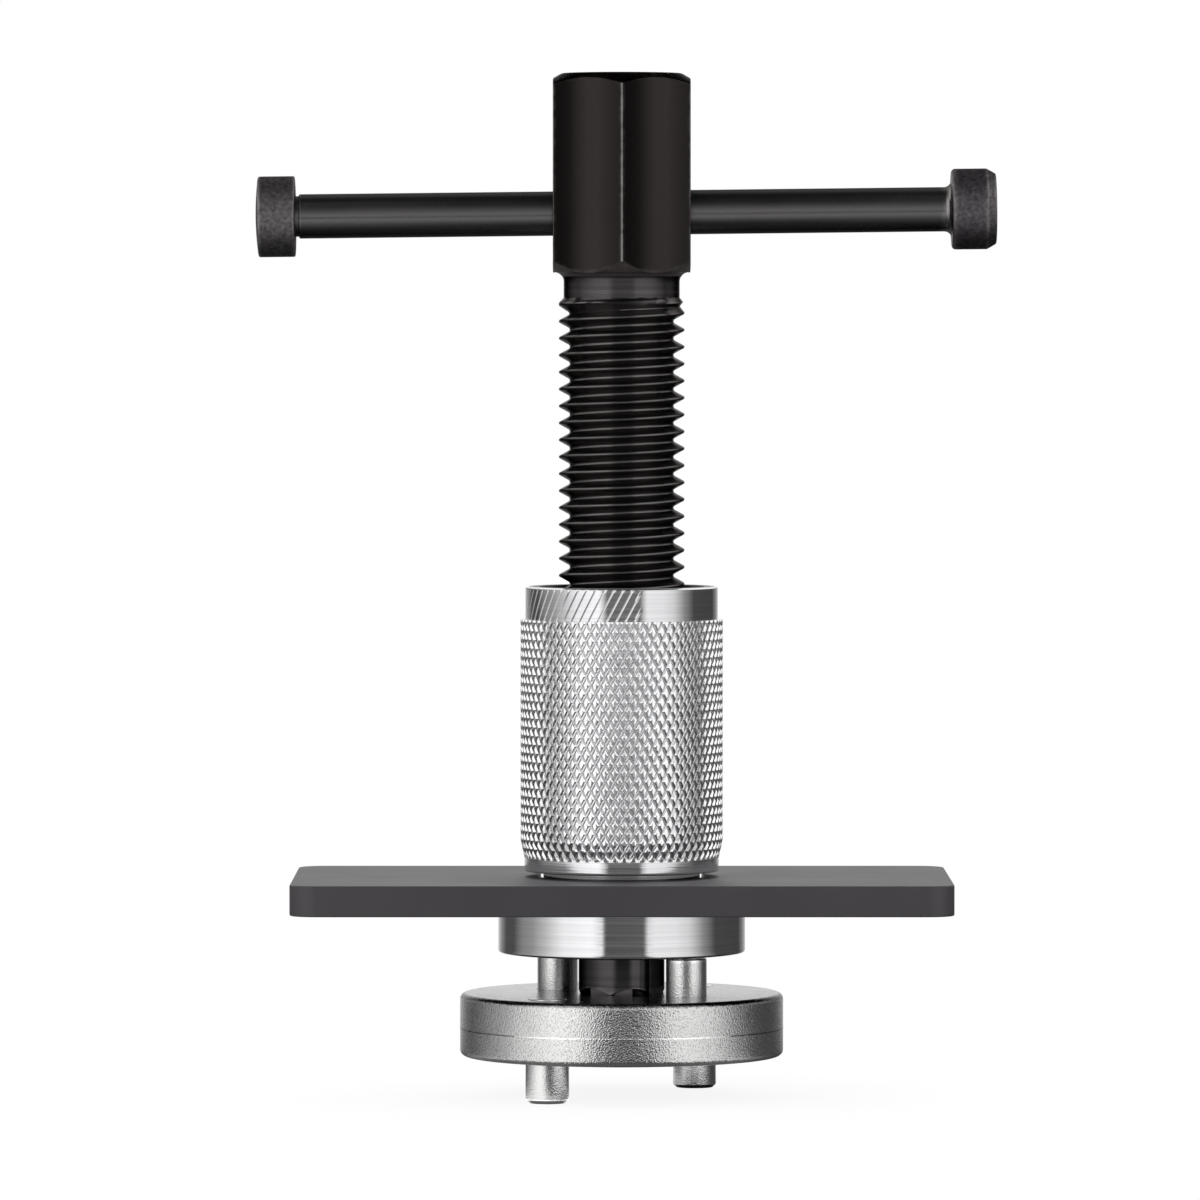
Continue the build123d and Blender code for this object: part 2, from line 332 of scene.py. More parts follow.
def ring_mesh(rings, angles, closed=False):
    """Vertices, faces and wear of a body of rings. A ring is (radius, height) or (radius, height, wear),
    each a number or an array over the angles; a radius of 0 is a single point on the axis."""
    count = len(angles)
    vertices = []
    wear = []
    rows = []
    for radius, height, *worn in rings:
        worn = worn[0] if worn else 0.0
        start = len(vertices)
        if np.ndim(radius) == 0 and radius == 0:
            vertices.append((0.0, 0.0, float(height)))
            wear.append(float(worn))
            rows.append([start] * count)
            continue
        heights = np.broadcast_to(height, count)
        vertices.extend(zip(radius * np.cos(angles), radius * np.sin(angles), heights))
        wear.extend(np.broadcast_to(worn, count))
        rows.append(list(range(start, start + count)))
    pairs = list(zip(rows, rows[1:]))
    if closed:
        pairs.append((rows[-1], rows[0]))
    faces = []
    for lower, upper in pairs:
        for i in range(count):
            j = (i + 1) % count
            corners = list(dict.fromkeys([lower[i], lower[j], upper[j], upper[i]]))
            if len(corners) > 2:
                faces.append(corners)
    return vertices, faces, wear


def add_to(builder, vertices, faces, wear, place=None):
    """Adds ring_mesh's result to a bmesh, which keeps the wear of each vertex."""
    layer = builder.verts.layers.float.get("wear") or builder.verts.layers.float.new("wear")
    made = []
    for point, worn in zip(vertices, wear):
        vertex = builder.verts.new(place @ Vector(point) if place else point)
        vertex[layer] = worn
        made.append(vertex)
    for face in faces:
        builder.faces.new([made[i] for i in face])


def ring_body(rings, angles, closed=False, place=None):
    """A bmesh with one body of rings."""
    builder = bmesh.new()
    add_to(builder, *ring_mesh(rings, angles, closed), place)
    return builder


def cut_out(mesh, tool):
    """The mesh with the closed shape in the bmesh `tool` cut out of it."""
    bmesh.ops.recalc_face_normals(tool, faces=tool.faces)
    tool_mesh = bpy.data.meshes.new("cutter")
    tool.to_mesh(tool_mesh)
    tool.free()
    whole = bpy.data.objects.new("whole", mesh)
    cutter = bpy.data.objects.new("cutter", tool_mesh)
    for item in (whole, cutter):
        bpy.context.collection.objects.link(item)
    cut = whole.modifiers.new("cut", "BOOLEAN")
    cut.operation = "DIFFERENCE"
    cut.solver = "EXACT"
    cut.object = cutter
    evaluated = whole.evaluated_get(bpy.context.evaluated_depsgraph_get())
    result = bpy.data.meshes.new_from_object(evaluated)
    bpy.data.objects.remove(whole)
    bpy.data.objects.remove(cutter)
    return result


def finish_piece(name, builder, material, body, nodes, sharp=32, tool=None):
    """Turns a bmesh into a piece that rides on its body and stands for its CAD nodes."""
    bmesh.ops.recalc_face_normals(builder, faces=builder.faces)
    mesh = bpy.data.meshes.new(name)
    builder.to_mesh(mesh)
    builder.free()
    if tool:
        mesh = cut_out(mesh, tool)
        mesh.name = name
    mesh.materials.append(material)
    mesh.shade_smooth()
    mesh.set_sharp_from_angle(angle=radians(sharp))
    piece = bpy.data.objects.new(name, mesh)
    bpy.context.collection.objects.link(piece)
    weighted = piece.modifiers.new("weighted_normals", "WEIGHTED_NORMAL")
    weighted.keep_sharp = True
    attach(piece, body)
    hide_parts(*nodes)
    return piece


def more_finishes(piece, materials, finish_of):
    """Gives a piece more materials, and each face the one whose number `finish_of` gives for it."""
    for material in materials:
        piece.data.materials.append(material)
    for face in piece.data.polygons:
        face.material_index = finish_of(face)


def rounded(points, steps=4):
    """Rings of an outline given as (radius, height), with a rounding third where a corner is round. It
    becomes an arc of `steps` stretches with wear 1, which fades beside it."""
    spots = [np.array(point[:2]) for point in points]
    gaps = [np.linalg.norm(spots[i] - spots[i - 1]) for i in range(len(points))]
    rings = []
    for i, (radius, height, *rounding) in enumerate(points):
        if not rounding:
            rings.append((radius, height))
            continue
        rounding = rounding[0]
        after = (i + 1) % len(points)
        back = (spots[i - 1] - spots[i]) / gaps[i]
        ahead = (spots[after] - spots[i]) / gaps[after]
        half = 0.5 * np.arccos(np.clip(back @ ahead, -1, 1))
        middle = (back + ahead) / np.linalg.norm(back + ahead)
        centre = spots[i] + middle * rounding / sin(half)
        reach = rounding / tan(half)
        first = back * reach + spots[i] - centre
        last = ahead * reach + spots[i] - centre
        swing = pi - 2 * half
        arc = []
        for step in range(steps + 1):
            share = step / steps
            spot = centre + (sin((1 - share) * swing) * first + sin(share * swing) * last) / sin(swing)
            arc.append((*spot, 1.0))
        before = spots[i] + back * (reach + min(rounding, EDGE_FADE * (gaps[i] - reach)))
        beyond = spots[i] + ahead * (reach + min(rounding, EDGE_FADE * (gaps[after] - reach)))
        rings += [tuple(before), *arc, tuple(beyond)]
    return rings


def unworn(rings):
    """The same rings without wear."""
    return [ring[:2] for ring in rings]


def hexagon(flats, corner_round, turn):
    """Angles of the mesh columns round a hexagon with rounded corners, one of them `turn` degrees from
    -Y, and its radius and its wear at each."""
    half = flats / 2
    corner_centre = (half - corner_round) / cos(pi / 6)
    touch = atan2(corner_round * sin(pi / 6), corner_centre + corner_round * cos(pi / 6))
    corner = np.linspace(-touch, touch, CORNER_COLUMNS)
    flat = np.linspace(touch, pi / 3 - touch, FLAT_COLUMNS)[1:-1]
    sector = np.concatenate([corner, flat])
    angles = np.concatenate([sector + radians(turn - 90) + k * pi / 3 for k in range(6)])
    off_corner = (angles - radians(turn - 90) + pi / 6) % (pi / 3) - pi / 6
    on_flat = half / np.cos(pi / 6 - np.abs(off_corner))
    reach = np.maximum(corner_round**2 - (corner_centre * np.sin(off_corner)) ** 2, 0)
    on_corner = corner_centre * np.cos(off_corner) + np.sqrt(reach)
    radius = np.where(np.abs(off_corner) <= touch + 1e-9, on_corner, on_flat)
    return angles, radius, np.clip(1.15 - np.abs(off_corner) / touch, 0, 1)


def spindle_head():
    """Hexagon head with its 30 degree chamfer on top and 45 degree one below, and the neck."""
    angles, outer, corner = hexagon(HEAD_FLATS, HEAD_CORNER_ROUND, 0)
    top_edge = head_top - (outer - HEAD_TOP_RADIUS) * HEAD_TOP_SLOPE
    foot_edge = head_foot + (outer - HEAD_FLATS / 2)
    low = thread_top - NECK_OVERLAP
    neck = rounded([
        (0.0, low),
        (NECK_RADIUS, low),
        (NECK_RADIUS, head_foot, NECK_FILLET),
        (NECK_RADIUS + NECK_FILLET + 0.2 * MM, head_foot),
    ], steps=8)
    return ring_body([
        *unworn(neck[:-1]),
        (outer - EDGE, foot_edge - EDGE, 0.2),
        (outer, foot_edge + EDGE / 2, np.maximum(corner, 0.2)),
        (outer, foot_edge + 4 * EDGE, corner),
        (outer, top_edge - 4 * EDGE, corner),
        (outer, top_edge - EDGE / 2, np.maximum(corner, 0.1)),
        (outer - EDGE, top_edge + EDGE * HEAD_TOP_SLOPE, 0.1),
        (HEAD_TOP_RADIUS + EDGE, head_top - EDGE * HEAD_TOP_SLOPE, 0.2),
        (HEAD_TOP_RADIUS - EDGE, head_top, 0.2),
        (0.0, head_top),
    ], angles)


def cross_hole():
    """The hole for the tommy bar through the head, with its two mouths broken at 45 degrees."""
    mouth = HEAD_FLATS / 2 - BAR_HOLE_BREAK
    flare = BAR_HOLE_BREAK + OVER
    across_head = Matrix.Translation((0, 0, bar_level)) @ Matrix.Rotation(radians(90), 4, "Y")
    return ring_body([
        (0.0, -mouth - flare),
        (BAR_HOLE_RADIUS + flare, -mouth - flare),
        (BAR_HOLE_RADIUS, -mouth),
        (BAR_HOLE_RADIUS, mouth),
        (BAR_HOLE_RADIUS + flare, mouth + flare),
        (0.0, mouth + flare),
    ], full_turn(96), place=across_head)


def store_painted_shade(piece, painted_shade_at):
    """Stores the painted shade at each point of a piece, from 0 for black to 1 for its own colour."""
    shades = piece.data.attributes.new("painted_shade", "FLOAT", "POINT")
    for vertex, painted_shade in zip(piece.data.vertices, shades.data):
        painted_shade.value = painted_shade_at(vertex.co)


def flat_painted_shade(point):
    """Painted shade on the head: each flat darker along its left side, the rest of the head a little
    darker.
    """
    turn = atan2(point.x, -point.y) / radians(60) % 1
    on_flat = point.xy.length > HEAD_FLATS / 2 - 0.3 * MM
    return np.interp(turn, FLAT_PLACES, FLAT_PAINTED_SHADES) if on_flat else 0.8


def head_finish(face):
    """The head's own finish, the neck's, or the dull one under the head and in the hole's roof."""
    return 2 if face.normal.z < -0.5 else int(face.center.z < head_foot - 0.02 * MM)


def spindle_thread():
    """The thread as one strip wound up the spindle, cut off level at both ends and capped."""
    turns = int((thread_top - thread_foot) / THREAD_PITCH) + 3
    start = thread_foot - THREAD_START * THREAD_PITCH
    cut_end = thread_top - THREAD_CUT_END * THREAD_PITCH
    step = np.arange(turns * THREAD_STEPS)
    angles = 2 * pi * step / THREAD_STEPS
    strip = []
    for share, cut in THREAD_PROFILE:
        height = start + THREAD_PITCH * (step / THREAD_STEPS + share)
        run_out = np.clip((cut_end - height) / (THREAD_RUN_OUT * THREAD_PITCH), 0, 1)
        radius = THREAD_RADIUS - THREAD_DEPTH * cut * run_out
        top_taper = NECK_RADIUS + np.maximum(thread_top - height, 0)
        foot_taper = THREAD_RADIUS - THREAD_BOTTOM_TAPER + np.maximum(height - thread_foot, 0)
        radius = np.minimum(radius, np.minimum(top_taper, foot_taper))
        strip.append(np.stack([radius * np.cos(angles), radius * np.sin(angles), height], axis=1))
    per_step = len(THREAD_PROFILE)
    builder = bmesh.new()
    layer = builder.verts.layers.float.new("wear")
    made = [builder.verts.new(point) for point in np.stack(strip, axis=1).reshape(-1, 3)]
    for i, vertex in enumerate(made):
        vertex[layer] = THREAD_WEAR if THREAD_PROFILE[i % per_step][1] < 0.05 else 0.0
    for i in range(len(step) - 1):
        for k in range(per_step):
            here = i * per_step + k
            above = here + 1 if k + 1 < per_step else (i + THREAD_STEPS) * per_step
            ahead = above + per_step
            if ahead < len(made):
                builder.faces.new([made[here], made[here + per_step], made[ahead], made[above]])
    for level, keep_up in ((thread_foot, True), (thread_top, False)):
        bmesh.ops.bisect_plane(
            builder, geom=[*builder.verts, *builder.edges, *builder.faces], dist=1e-7,
            plane_co=(0, 0, level), plane_no=(0, 0, 1), clear_inner=keep_up, clear_outer=not keep_up,
        )
        rim = [edge for edge in builder.edges if edge.is_boundary
               and all(abs(vertex.co.z - level) < 1e-6 for vertex in edge.verts)]
        bmesh.ops.edgeloop_fill(builder, edges=rim)
    return builder


def spindle_drive():
    """Round nose below the thread, and the hexagon drive milled from it, with the magnet's pocket. Each
    flat runs out in an arc, highest at its middle."""
    angles, outer = hexagon(DRIVE_FLATS, DRIVE_CORNER_ROUND, DRIVE_TURN)[:2]
    outer = np.minimum(outer, NOSE_RADIUS - 0.01 * MM)
    break_radius = DRIVE_FLATS / 2 - DRIVE_END_BREAK
    foot_edge = drive_foot + (outer - break_radius)
    off_flat = (angles - radians(DRIVE_TURN - 60)) % (pi / 3) - pi / 6
    run_out = shoulder_foot + DRIVE_ARC_RISE * (1 - (off_flat / (pi / 6)) ** 2)
    shoulder_top = shoulder_foot + DRIVE_ARC_RISE + 0.1 * MM
    return ring_body([
        (0.0, drive_foot + MAGNET_POCKET_DEPTH),
        (MAGNET_POCKET_RADIUS, drive_foot + MAGNET_POCKET_DEPTH),
        (MAGNET_POCKET_RADIUS, drive_foot, 0.3),
        (break_radius, drive_foot, 0.5),
        (outer, foot_edge, 0.5),
        (outer, run_out),
        (NOSE_RADIUS - 0.04 * MM, run_out + 0.02 * MM, 0.5),
        (NOSE_RADIUS, run_out + 0.06 * MM, 0.5),
        (NOSE_RADIUS, shoulder_top + 0.3 * MM),
        (NOSE_RADIUS, thread_foot + NOSE_OVERLAP),
        (0.0, thread_foot + NOSE_OVERLAP),
    ], angles)


def noise(tree, vector, scale, detail):
    """A noise texture's value, read at a vector."""
    inputs = {"Vector": vector, "Scale": scale, "Detail": detail}
    return node(tree, "ShaderNodeTexNoise", inputs).outputs["Fac"]


def clamped(tree, value):
    """A value kept from 0 to 1."""
    return math(tree, "MINIMUM", math(tree, "MAXIMUM", value, 0.0), 1.0)


def shared_group(name, inputs, outputs):
    """A shader node group with number inputs, given with their values, and its own sockets for them."""
    group = bpy.data.node_groups.new(name, "ShaderNodeTree")
    for label, value in inputs.items():
        socket = group.interface.new_socket(label, in_out="INPUT", socket_type="NodeSocketFloat")
        socket.default_value = value
    for label in outputs:
        group.interface.new_socket(label, in_out="OUTPUT", socket_type="NodeSocketFloat")
    return group, node(group, "NodeGroupInput").outputs


def grain_group():
    """Fine grain and wide blotches. Scale and Blotch are in bumps a metre."""
    group, given = shared_group("grain", {"Scale": 2500.0, "Blotch": 160.0}, ["Grain", "Blotches"])
    place = own_place(group)
    node(group, "NodeGroupOutput", {
        "Grain": noise(group, place, given["Scale"], 1.0),
        "Blotches": noise(group, place, given["Blotch"], 2.0),
    })
    return group


def turning_group():
    """Tool marks left by turning about an upright axis: bands that change with height only."""
    group, given = shared_group("turning_marks", {"Fine": 9000.0, "Coarse": 1500.0}, ["Marks"])
    x, y, z = node(group, "ShaderNodeSeparateXYZ", {0: own_place(group)}).outputs
    x, y = [math(group, "MULTIPLY", value, 0.006) for value in (x, y)]
    squeezed = node(group, "ShaderNodeCombineXYZ", {0: x, 1: y, 2: z}).outputs[0]
    fine = math(group, "MULTIPLY", noise(group, squeezed, given["Fine"], 2.0), 1.7)
    coarse = noise(group, squeezed, given["Coarse"], 1.0)
    marks = math(group, "SUBTRACT", math(group, "ADD", fine, coarse), 0.85)
    node(group, "NodeGroupOutput", {"Marks": marks})
    return group


def wear_group():
    """Wear on edges: the mesh's own wear value, broken up by noise."""
    group, given = shared_group("edge_wear", {"Amount": 0.5, "Patches": 900.0}, ["Wear"])
    own_wear = node(group, "ShaderNodeAttribute", attribute_name="wear").outputs["Fac"]
    patches = noise(group, own_place(group), given["Patches"], 3.0)
    level = math(group, "SUBTRACT", math(group, "MULTIPLY", own_wear, given["Amount"]), 0.4)
    worn = math(group, "MULTIPLY", math(group, "MULTIPLY_ADD", patches, 0.8, level), own_wear)
    node(group, "NodeGroupOutput", {"Wear": clamped(group, worn)})
    return group


grain = grain_group()
turning = turning_group()
edge_wear = wear_group()


def place_group(tree, group, **values):
    """The outputs of a shared group that is placed in a material with its own values."""
    return node(tree, "ShaderNodeGroup", values, node_tree=group).outputs


def mixed(tree, share, first, second):
    """A colour between two colours or colour sockets, by a socket."""
    first, second = [(*colour, 1) if isinstance(colour, tuple) else colour for colour in (first, second)]
    inputs = {"Factor": share, "A": first, "B": second}
    return node(tree, "ShaderNodeMix", inputs, data_type="RGBA").outputs["Result"]


def times(colour, factor):
    """A colour made lighter or darker."""
    return tuple(value * factor for value in colour)


def with_painted_shade(tree, colour, ragged_by=None):
    """A colour socket darkened by the mesh's painted shade, with a ragged edge where a grain is given."""
    painted_shade = node(tree, "ShaderNodeAttribute", attribute_name="painted_shade").outputs["Fac"]
    if ragged_by:
        painted_shade = math(tree, "MULTIPLY_ADD", ragged_by, 1.4, math(tree, "SUBTRACT", painted_shade, 0.7))
        painted_shade = clamped(tree, painted_shade)
    return mixed(tree, painted_shade, (0, 0, 0), colour)


def bump(tree, height, strength, distance):
    """A normal from a height socket."""
    inputs = {"Height": height, "Strength": strength, "Distance": distance}
    return node(tree, "ShaderNodeBump", inputs).outputs["Normal"]


def black_oxide(name, base, roughness, wear_amount, turned=0.0, painted_shading=False, relief=0.00002,
                mottle=0.05, metallic=1.0):
    """Oiled black oxide on steel, worn to bare metal on edges. `turned` is the depth of the lathe's fine
    marks, which spread reflections along the upright axis. `painted_shading` darkens it by the mesh's
    painted shade, `relief` is the grain's height, and `mottle` is how much the colour changes from spot
    to spot."""
    material, tree = new_material(name)
    surface = place_group(tree, grain, Scale=1800.0, Blotch=140.0)
    height = surface["Grain"]
    lathe = {}
    if turned:
        marks = place_group(tree, turning, Fine=3500.0, Coarse=1200.0)["Marks"]
        oxide = mixed(tree, marks, times(base, 0.65), times(base, 1.45))
        height = math(tree, "ADD", height, math(tree, "MULTIPLY", marks, turned))
        tangent = node(tree, "ShaderNodeTangent", direction_type="RADIAL", axis="Z").outputs[0]
        lathe = {"Tangent": tangent, "Anisotropic": 0.7, "Anisotropic Rotation": 0.25}
    else:
        oxide = mixed(tree, height, times(base, 1 - mottle), times(base, 1 + mottle))
    if painted_shading:
        oxide = with_painted_shade(tree, oxide)
    worn = place_group(tree, edge_wear, Amount=wear_amount, Patches=700.0)["Wear"]
    show(tree, "ShaderNodeBsdfPrincipled", {
        "Base Color": mixed(tree, worn, oxide, WORN_STEEL),
        "Metallic": metallic,
        "Specular Tint": (0.25, 0.25, 0.25, 1),
        "Roughness": math(tree, "MULTIPLY_ADD", surface["Blotches"], 0.12, roughness - 0.06),
        "Normal": bump(tree, height, 0.35, relief),
        **lathe,
    })
    return material


oxide_head = black_oxide("black_oxide_head", (0.030, 0.0263, 0.0252), 0.34, 0.6, painted_shading=True)
oxide_thread = black_oxide("black_oxide_turned", (0.110, 0.105, 0.103), 0.25, 0.75, 0.8)
oxide_plain = black_oxide("black_oxide_plain", (0.062, 0.058, 0.060), 0.25, 0.75, 0.8)
oxide_dull = black_oxide("black_oxide_dull", (0.023, 0.0195, 0.0185), 0.6, 0.0, metallic=0.0)

head = finish_piece("spindle_head", spindle_head(), oxide_head, "spindle", ["spindle"],
                    tool=cross_hole())
# painted shade over the head's flats
store_painted_shade(head, flat_painted_shade)
more_finishes(head, [oxide_plain, oxide_dull], head_finish)
finish_piece("spindle_thread", spindle_thread(), oxide_thread, "spindle", ["spindle"], 50)
finish_piece("spindle_drive", spindle_drive(), oxide_plain, "spindle", ["spindle"])


# Tommy bar: a turned steel rod in black oxide. One head is forged on it; the other is a round cap pressed
# over a spigot, so that the bar can't fall out of the loose cross hole, where it lies slightly off level.
# Both ends are rougher than the rod. The forged one has a chamfer, and the cap's end bulges a little.
BAR_RADIUS = 3.33 * MM
BAR_TILT = 0.64
BAR_LEFT = 48.95 * MM
BAR_RIGHT = 48.3 * MM
BAR_NECK_RADIUS = 3.05 * MM
BAR_NECK_LENGTH = 0.6 * MM
SPIGOT_RADIUS = 2.5 * MM
SPIGOT_LENGTH = 4.2 * MM
FORGED_RADIUS = 6.05 * MM
FORGED_THICKNESS = 6.695 * MM
FORGED_FLARE = 1.1 * MM
FORGED_CHAMFER = 1.4 * MM     # along the bar, at the outer end
FORGED_CHAMFER_DEPTH = 0.8 * MM
CAP_RADIUS = 6.05 * MM
CAP_THICKNESS = 5.898 * MM
CAP_FLOOR = 1.5 * MM
CAP_CROWN = 0.4 * MM
CROWN_SHARES = (0.85, 0.7, 0.5, 0.3, 0.15)  # of the cap's radius, where its crown has rings

along_bar = Matrix.Translation((0, 0, bar_level)) @ Matrix.Rotation(radians(90 - BAR_TILT), 4, "Y")
bar_angles = full_turn(128)
forged_start = BAR_RIGHT + FORGED_FLARE
forged_end = forged_start + FORGED_THICKNESS
bar_rings = rounded([
    (0.0, -BAR_LEFT - SPIGOT_LENGTH),
    (SPIGOT_RADIUS, -BAR_LEFT - SPIGOT_LENGTH),
    (SPIGOT_RADIUS, -BAR_LEFT),
    (BAR_NECK_RADIUS, -BAR_LEFT),
    (BAR_NECK_RADIUS, -BAR_LEFT + BAR_NECK_LENGTH),
    (BAR_RADIUS, -BAR_LEFT + BAR_NECK_LENGTH, 0.2 * MM),
    (BAR_RADIUS, forged_start, FORGED_FLARE),
    (FORGED_RADIUS, forged_start, 0.6 * MM),
    (FORGED_RADIUS, forged_end - FORGED_CHAMFER, 0.4 * MM),
    (FORGED_RADIUS - FORGED_CHAMFER_DEPTH, forged_end, 0.3 * MM),
    (0.0, forged_end),
], steps=8)
cap_end = -BAR_LEFT - CAP_THICKNESS
cap_rings = rounded([
    (SPIGOT_RADIUS, -BAR_LEFT),
    (CAP_RADIUS, -BAR_LEFT, 0.25 * MM),
    (CAP_RADIUS, cap_end + CAP_CROWN, 0.35 * MM),
    *[(CAP_RADIUS * share, cap_end + CAP_CROWN * share**2) for share in CROWN_SHARES],
    (0.0, cap_end),
], steps=6)
cap_rings += [(0.0, cap_end + CAP_FLOOR), (SPIGOT_RADIUS, cap_end + CAP_FLOOR)]


def bar_finish(face):
    """The rod's finish, or the forged head's."""
    return int(face.center.x > forged_start + 0.1 * MM)


bar_black = black_oxide("bar_black_oxide", (0.135, 0.131, 0.135), 0.25, 0.3)
cap_black, forged_black = [
    black_oxide(name, base, 0.50, 0.2, relief=0.0001, mottle=0.8)
    for name, base in (("cap_black_oxide", (0.132, 0.124, 0.128)),
                       ("forged_black_oxide", (0.104, 0.096, 0.103)))
]
bar = finish_piece("tommy_bar", ring_body(bar_rings, bar_angles, place=along_bar), bar_black,
                   "tommy_bar", ["tommy_bar"])
more_finishes(bar, [forged_black], bar_finish)
finish_piece("tommy_bar_cap", ring_body(cap_rings, bar_angles, True, along_bar), cap_black,
             "tommy_bar", ["tommy_bar_cap"])


# Threaded sleeve: turned from one steel bar, knurled, and plated in bright chrome. The knurling wheels ran
# over the smooth band at its top, which keeps their slanting lines on two thirds of its round. Its top
# face is bare and dull, with turned rings, and painted shade darkens it towards the thread.
FLANGE_RADIUS = 18.55 * MM
FLANGE_THICKNESS = 6.8 * MM
GROOVE_RADIUS = 11.75 * MM
GROOVE_HEIGHT = 5.4 * MM
LOW_BAND_RADIUS = 14.6 * MM
LOW_BAND_HEIGHT = 2.0 * MM
KNURL_RADIUS = 15.19 * MM
KNURL_RUN_IN = 2.6 * MM
KNURL_DEPTH = 0.4 * MM
KNURL_LINES = 65
KNURL_RISE = 2.61 * MM        # height of one diamond
KNURL_PLACES = [0, 0.125, 0.25, 0.375, 0.5]  # shares of a pitch, from a groove to midway
KNURL_CUTS = [1.0, 0.5, 0.12, 0.02, 0.0]  # share of the depth there
FALLING_DEPTH = 0.88          # of the falling grooves, next to the rising ones
CELL_STEPS = 8                # mesh steps over one knurl pitch, each way
TOP_BAND_RADIUS = 14.44 * MM
TOP_BAND_HEIGHT = 4.9 * MM
TOP_EDGE = 0.2 * MM           # height of its broken upper edge
OVERRUN_DEPTH = 0.09 * MM
OVERRUN_END = 12.0            # degrees right of the camera, where the overrun lines stop
OVERRUN_SPAN = 229.0
OVERRUN_FADE = 4              # degrees in which they fade there, and half as fast at the other end
BORE_RADIUS = 9.5 * MM
BORE_FOOT_BREAK = 0.7 * MM
BORE_TOP_BREAK = 0.85 * MM    # down the bore
FACE_RINGS = [13.94, 13.35, 13.25, 12.6, 12.4, 11.9, 10.35]  # radii in mm of rings on the top face
# painted shade at those rings: near black towards the thread, with darker bands at the turned rings
FACE_PAINTED_SHADES = [1.0, 0.9, 0.4, 0.8, 0.25, 0.06, 0.02]

sleeve_foot = sleeve_low[2]
sleeve_top = sleeve_high[2]
flange_top = sleeve_foot + FLANGE_THICKNESS
low_band_foot = flange_top + GROOVE_HEIGHT
low_band_top = low_band_foot + LOW_BAND_HEIGHT
knurl_top = sleeve_top - TOP_BAND_HEIGHT
knurl_columns = KNURL_LINES * CELL_STEPS
knurl_angles = 2 * pi * np.arange(knurl_columns) / knurl_columns
around_steps = np.arange(knurl_columns) / CELL_STEPS


def to_groove(steps):
    """Share of a pitch to the nearest groove, from 0 on it to 0.5 midway."""
    return np.abs(steps - np.round(steps))


def knurl_ring(height):
    """Radius of the knurled grip at a height, with diamond crests between two sets of grooves."""
    rise = height / KNURL_RISE
    rising = np.interp(to_groove(around_steps - rise), KNURL_PLACES, KNURL_CUTS)
    falling = np.interp(to_groove(around_steps + rise), KNURL_PLACES, KNURL_CUTS)
    share = min((height - low_band_top) / KNURL_RUN_IN, 1)
    crest = LOW_BAND_RADIUS + (KNURL_RADIUS - LOW_BAND_RADIUS) * share
    return crest - KNURL_DEPTH * min(4 * share, 1) * np.maximum(rising, FALLING_DEPTH * falling)


def overrun_ring(height):
    """Radius of the top band, scored by one knurling wheel over part of its round."""
    near = to_groove(around_steps - height / KNURL_RISE)
    cut = np.interp(near, [0, 0.125], [1.0, 0.0])
    turn = (np.degrees(knurl_angles) + 90) % 360
    behind = (OVERRUN_END - turn) % 360
    other_end = (OVERRUN_SPAN - behind) / (2 * OVERRUN_FADE)
    shown = np.clip(behind / OVERRUN_FADE, 0, 1) * np.clip(other_end, 0, 1)
    return TOP_BAND_RADIUS - OVERRUN_DEPTH * cut * shown


def knurl_levels(low, high):
    """Heights between low and high that fall on the knurl's own mesh steps, with both ends."""
    step = KNURL_RISE / CELL_STEPS
    inside = np.arange(np.ceil(low / step + 0.3), np.floor(high / step - 0.3) + 1) * step
    return [low, *inside, high]


def split_on_grooves(faces, first, levels, band):
    """Splits each quad between the knurl's levels along the groove or ridge that crosses it. `first` is
    the number of their first ring, and from level `band` on there are rising grooves only."""
    split = []
    for number, face in enumerate(faces):
        row, column = divmod(number, knurl_columns)
        if not first <= row < first + len(levels) - 1 or len(face) < 4:
            split.append(face)
            continue
        rise = levels[row - first] / KNURL_RISE * CELL_STEPS + 0.5
        rising = to_groove((column + 0.5 - rise) / CELL_STEPS)
        falling = to_groove((column + 0.5 + rise) / CELL_STEPS)
        a, b, c, d = face
        on_rising = rising < falling or row - first >= band
        split += [[a, b, c], [a, c, d]] if on_rising else [[a, b, d], [b, c, d]]
    return split


def threaded_sleeve():
    """The whole sleeve as closed rings: bore, flange, groove, low band, knurl, top band and top face."""
    lower = rounded([
        (BORE_RADIUS, sleeve_foot + BORE_FOOT_BREAK),
        (BORE_RADIUS + BORE_FOOT_BREAK, sleeve_foot, 0.15 * MM),
        (FLANGE_RADIUS, sleeve_foot, 0.4 * MM),
        (FLANGE_RADIUS, flange_top, 0.25 * MM),
        (GROOVE_RADIUS, flange_top),
        (GROOVE_RADIUS, low_band_foot),
        (LOW_BAND_RADIUS, low_band_foot, 0.2 * MM),
        (LOW_BAND_RADIUS, low_band_top - 0.03 * MM),
    ])
    knurl = knurl_levels(low_band_top, knurl_top)
    band = knurl_levels(knurl_top, sleeve_top - TOP_EDGE)
    vertices, faces, wear = ring_mesh([
        *lower,
        *[(knurl_ring(height), height) for height in knurl],
        *[(overrun_ring(height), height) for height in band],
        (TOP_BAND_RADIUS - 0.05 * MM, sleeve_top - 0.6 * TOP_EDGE),
        *[(radius * MM, sleeve_top) for radius in FACE_RINGS],
        (BORE_RADIUS, sleeve_top - BORE_TOP_BREAK),
    ], knurl_angles, closed=True)
    builder = bmesh.new()
    add_to(builder, vertices, split_on_grooves(faces, len(lower), knurl + band, len(knurl)), wear)
    return builder


def turned_chrome():
    """Bright chrome over turned steel, with the lathe's fine lines under it."""
    material, tree = new_material("chrome_turned")
    marks = place_group(tree, turning, Fine=5000.0, Coarse=1500.0)["Marks"]
    show(tree, "ShaderNodeBsdfPrincipled", {
        "Base Color": mixed(tree, marks, (0.56, 0.56, 0.57), (0.68, 0.68, 0.69)),
        "Metallic": 1.0,
        "Roughness": math(tree, "MULTIPLY_ADD", marks, 0.07, 0.05),
        "Anisotropic": 0.5,
        "Anisotropic Rotation": 0.25,
        "Normal": bump(tree, marks, 0.12, 0.00002),
    })
    return material


